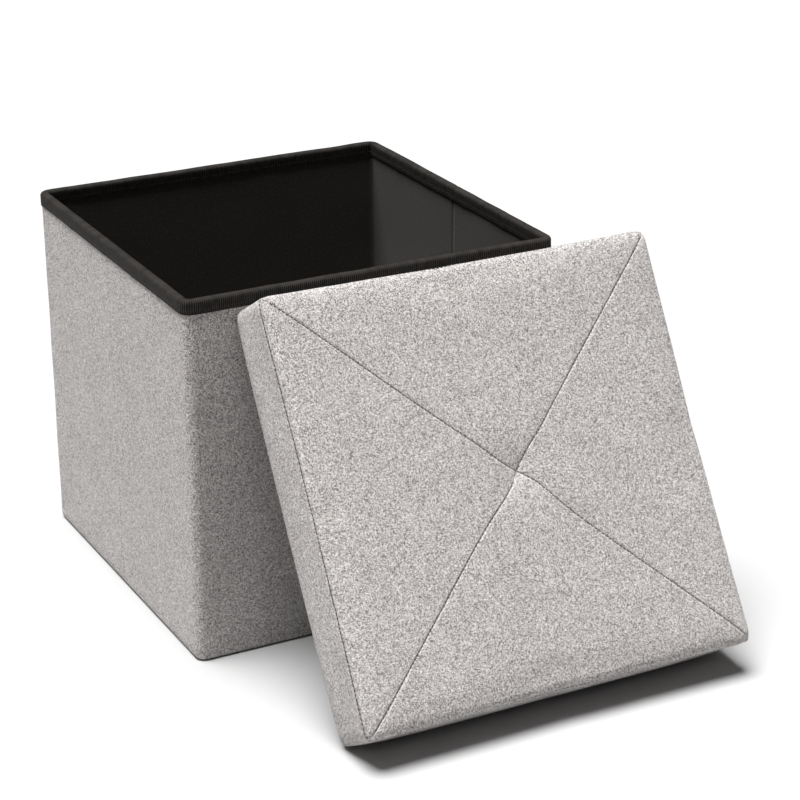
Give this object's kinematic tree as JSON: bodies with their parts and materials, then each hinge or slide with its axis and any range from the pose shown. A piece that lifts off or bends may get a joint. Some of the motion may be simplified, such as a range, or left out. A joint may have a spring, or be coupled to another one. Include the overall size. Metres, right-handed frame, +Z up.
{
  "type": "storage ottoman",
  "caption": "Square folding storage ottoman: linen-look cloth box on hinged boards, black bound rim, loose base board, and a tufted cushion lid leaning on its front wall.",
  "frame": {"origin": "on the floor, under the middle of the box's footprint (the lid is not counted)", "axes": "+Z up, -Y out of the front wall that the lid leans on, +X along the front wall to the right when seen from the front"},
  "size_m": [0.4453, 0.6475, 0.3757],
  "materials": {
    "grey_linen": "matte",
    "black_lining": "matte",
    "black_binding": "matte",
    "fibreboard": "matte",
    "foam": "matte",
    "thread": "matte",
    "steel": "satin"
  },
  "bodies": {
    "front_wall": {"front_board": "fibreboard", "front_cover": "grey_linen", "front_lining": "black_lining", "front_binding": "black_binding", "front_right_hinge": "grey_linen", "front_left_hinge": "grey_linen", "bottom_cloth": "grey_linen"},
    "right_front_panel": {"right_front_board": "fibreboard", "right_front_cover": "grey_linen", "right_front_lining": "black_lining", "right_front_binding": "black_binding", "right_crease_hinge": "grey_linen"},
    "right_rear_panel": {"right_rear_board": "fibreboard", "right_rear_cover": "grey_linen", "right_rear_lining": "black_lining", "right_rear_binding": "black_binding"},
    "back_wall": {"back_board": "fibreboard", "back_cover": "grey_linen", "back_lining": "black_lining", "back_binding": "black_binding", "back_right_hinge": "grey_linen", "back_left_hinge": "grey_linen"},
    "left_front_panel": {"left_front_board": "fibreboard", "left_front_cover": "grey_linen", "left_front_lining": "black_lining", "left_front_binding": "black_binding", "left_crease_hinge": "grey_linen"},
    "left_rear_panel": {"left_rear_board": "fibreboard", "left_rear_cover": "grey_linen", "left_rear_lining": "black_lining", "left_rear_binding": "black_binding"},
    "base": {"base_board": "fibreboard", "base_lining": "black_lining"},
    "lid": {"lid_lining": "black_lining", "lid_board": "fibreboard", "lid_foam": "foam", "tuft_washer": "steel", "tuft_cord": "thread", "lid_top_bottom": "grey_linen", "lid_top_right": "grey_linen", "lid_top_top": "grey_linen", "lid_top_left": "grey_linen", "lid_gusset_left": "grey_linen", "lid_gusset_right": "grey_linen", "lid_gusset_bottom": "grey_linen", "lid_gusset_top": "grey_linen", "lid_batten_left": "black_lining", "lid_batten_right": "black_lining", "lid_batten_bottom": "black_lining", "lid_batten_top": "black_lining"}
  },
  "joints": [
    {"name": "fold", "type": "hinge", "parent": "front_wall", "child": "right_front_panel", "pos_m": [0.1836, -0.1796, 0], "axis": [0, 0, 1], "range_deg": [0, 90], "deforming": ["front_right_hinge"]},
    {"name": "right_crease", "type": "hinge", "parent": "right_front_panel", "child": "right_rear_panel", "pos_m": [0.1916, 0, 0], "axis": [0, 0, 1], "range_deg": [-180, 0], "deforming": ["right_crease_hinge"]},
    {"name": "right_back_corner", "type": "hinge", "parent": "right_rear_panel", "child": "back_wall", "pos_m": [0.1836, 0.1796, 0], "axis": [0, 0, 1], "range_deg": [0, 90], "deforming": ["back_right_hinge"]},
    {"name": "left_front_corner", "type": "hinge", "parent": "front_wall", "child": "left_front_panel", "pos_m": [-0.1836, -0.1796, 0], "axis": [0, 0, 1], "range_deg": [-90, 0], "deforming": ["front_left_hinge"]},
    {"name": "left_crease", "type": "hinge", "parent": "left_front_panel", "child": "left_rear_panel", "pos_m": [-0.1916, 0, 0], "axis": [0, 0, 1], "range_deg": [0, 180], "deforming": ["left_crease_hinge", "back_left_hinge"]},
    {"name": "base_lift", "type": "slide", "parent": "front_wall", "child": "base", "axis": [0, 0, 1], "range_m": [0, 0.4]},
    {"name": "lid_lift", "type": "slide", "parent": "front_wall", "child": "lid", "axis": [0, 0, 1], "range_m": [0, 0.3]}
  ],
  "couplings": [
    {"joint": "right_crease", "follows": "fold", "ratio": -2},
    {"joint": "right_back_corner", "follows": "fold", "ratio": 1},
    {"joint": "left_front_corner", "follows": "fold", "ratio": -1},
    {"joint": "left_crease", "follows": "fold", "ratio": 2}
  ]
}
